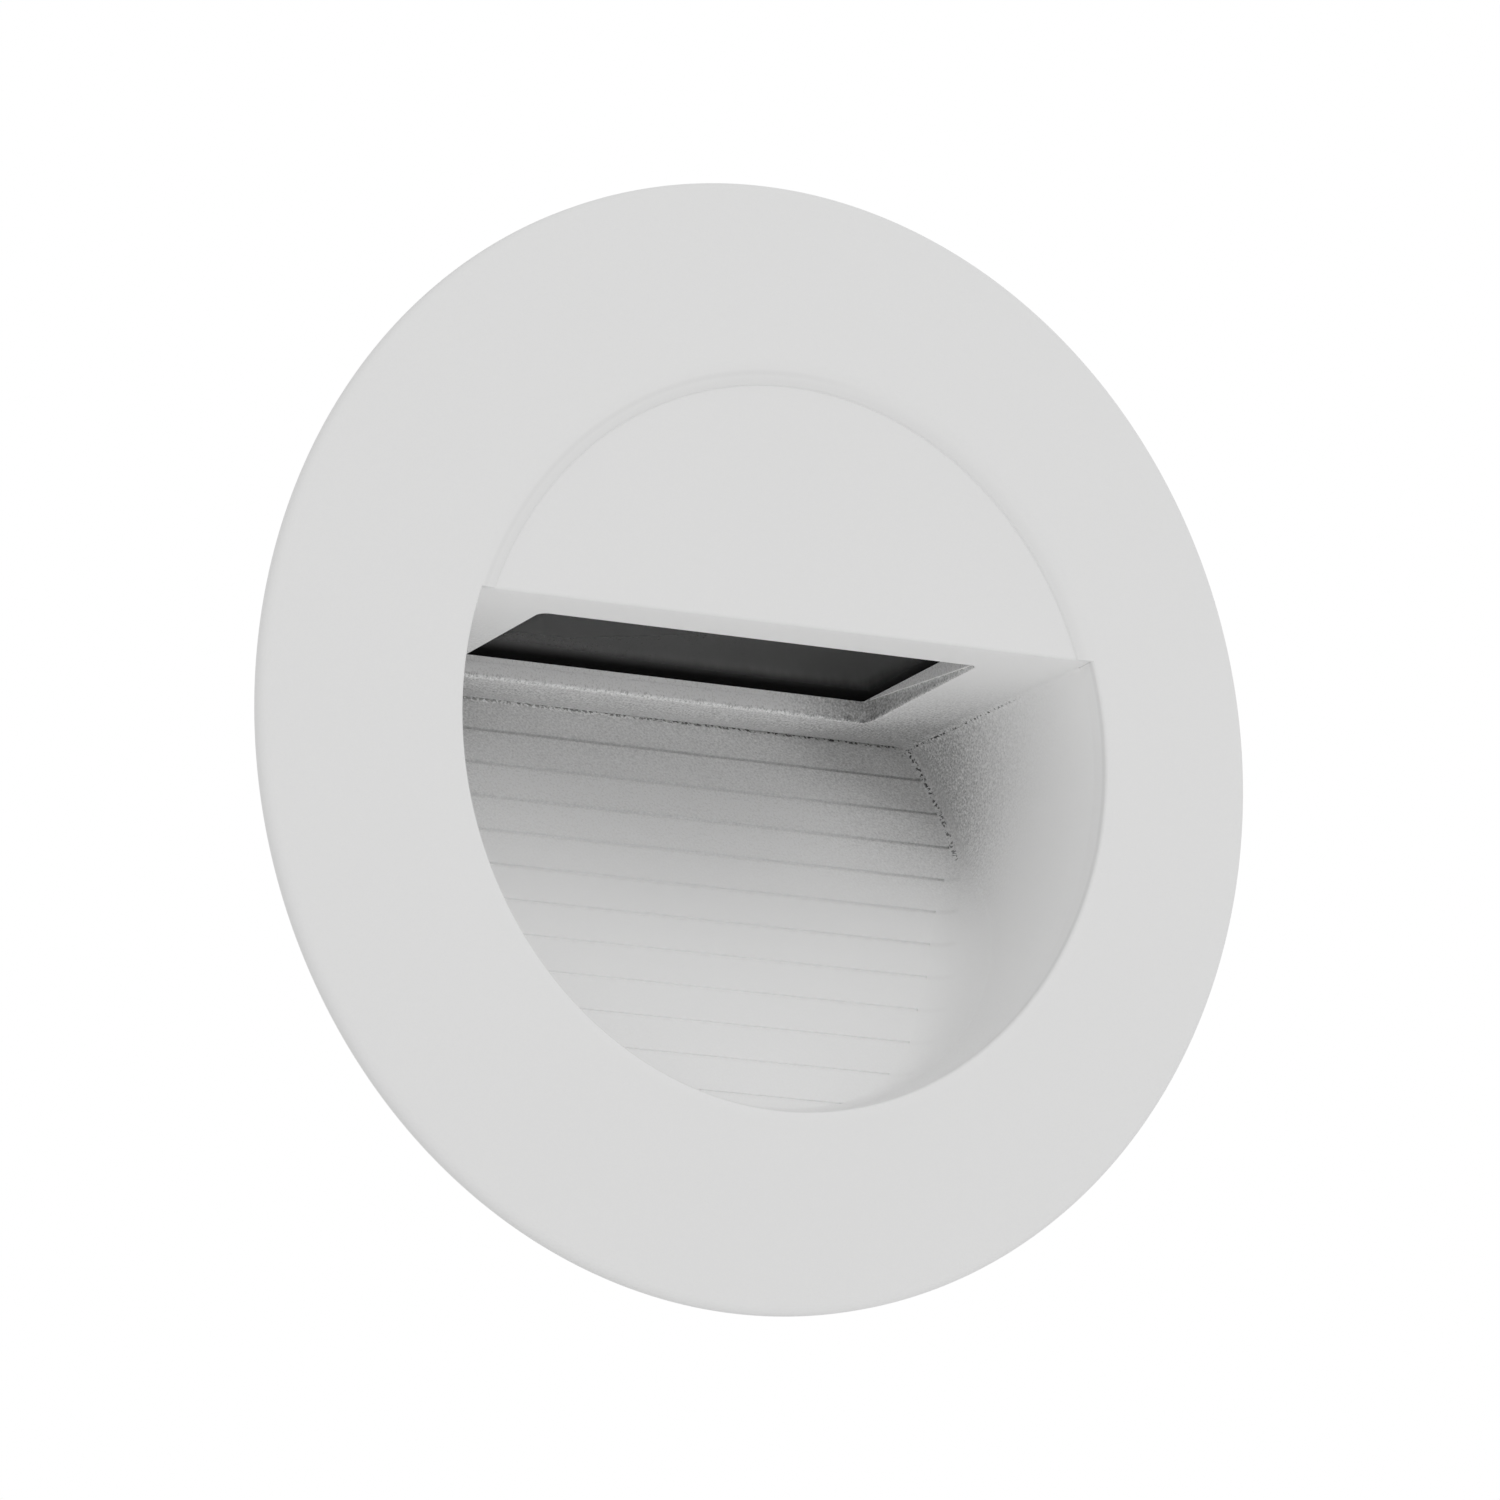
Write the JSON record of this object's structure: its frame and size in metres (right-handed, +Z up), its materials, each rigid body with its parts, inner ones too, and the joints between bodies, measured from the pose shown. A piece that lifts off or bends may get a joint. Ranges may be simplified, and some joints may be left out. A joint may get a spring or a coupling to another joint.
{
  "type": "recessed wall light",
  "caption": "Round white recessed wall light with a half-moon hood, a downward lens window, a grooved sloping recess and spring clips behind a conical bezel.",
  "frame": {"origin": "on the round bezel's axis, in the plane of the wall's face (back of the bezel's rim and of its seal)", "axes": "+X right as seen from the front, +Y into the wall, +Z up; the lit face looks along -Y"},
  "size_m": [0.12, 0.0722, 0.12],
  "materials": {
    "white_coat": "fine satin white powder coat",
    "dark_lens": "smoked, smooth",
    "seal_rubber": "matt black",
    "sleeve_rubber": "matt dark grey",
    "black_plastic": "fine grained black",
    "driver_plastic": "matt light grey",
    "terminal_plastic": "natural polyamide",
    "board_white": "white solder mask",
    "chip_yellow": "yellow phosphor",
    "cast_aluminium": "bare die casting",
    "clip_steel": "stainless strip",
    "pin_steel": "drawn steel",
    "spring_steel": "drawn spring wire",
    "zinc_screw": "bright zinc",
    "brass_screw": "plain brass"
  },
  "bodies": {
    "light_body": {"bezel_ring": "white_coat", "hood": "white_coat", "recess_tub": "white_coat", "lens_gasket": "seal_rubber", "housing_seal": "seal_rubber", "flange_seal": "seal_rubber", "cover_gasket": "seal_rubber", "gland_seal": "seal_rubber", "lens": "dark_lens", "lens_frame": "black_plastic", "rear_cover": "black_plastic", "gland_body": "black_plastic", "gland_locknut": "black_plastic", "gland_cap": "black_plastic", "led_board": "board_white", "led_chips": "chip_yellow", "heat_spreader": "cast_aluminium", "housing": "cast_aluminium", "driver_case": "driver_plastic", "driver_lid": "driver_plastic", "terminal_block": "terminal_plastic", "module_screws": "zinc_screw", "housing_screws": "zinc_screw", "cover_screws": "zinc_screw", "driver_screws": "zinc_screw", "terminal_fixings": "zinc_screw", "bracket_screws": "zinc_screw", "terminal_screws": "brass_screw", "clip_top_bracket": "clip_steel", "clip_top_pin": "pin_steel", "clip_top_spring": "spring_steel", "clip_bottom_bracket": "clip_steel", "clip_bottom_pin": "pin_steel", "clip_bottom_spring": "spring_steel"},
    "top_clip": {"clip_top_arm": "clip_steel", "clip_top_sleeve": "sleeve_rubber"},
    "bottom_clip": {"clip_bottom_arm": "clip_steel", "clip_bottom_sleeve": "sleeve_rubber"}
  },
  "joints": [
    {"name": "top_clip_swing", "type": "hinge", "parent": "light_body", "child": "top_clip", "pos_m": [0, 0.02198, 0.0484], "axis": [-1, 0, 0], "range_deg": [0, 165], "stiffness_Nm_per_rad": 0.12, "springref_deg": -20.05, "deforming": ["clip_top_spring"]},
    {"name": "bottom_clip_swing", "type": "hinge", "parent": "light_body", "child": "bottom_clip", "pos_m": [0, 0.02198, -0.0484], "axis": [1, 0, 0], "range_deg": [0, 165], "stiffness_Nm_per_rad": 0.12, "springref_deg": -20.05, "deforming": ["clip_bottom_spring"]}
  ]
}
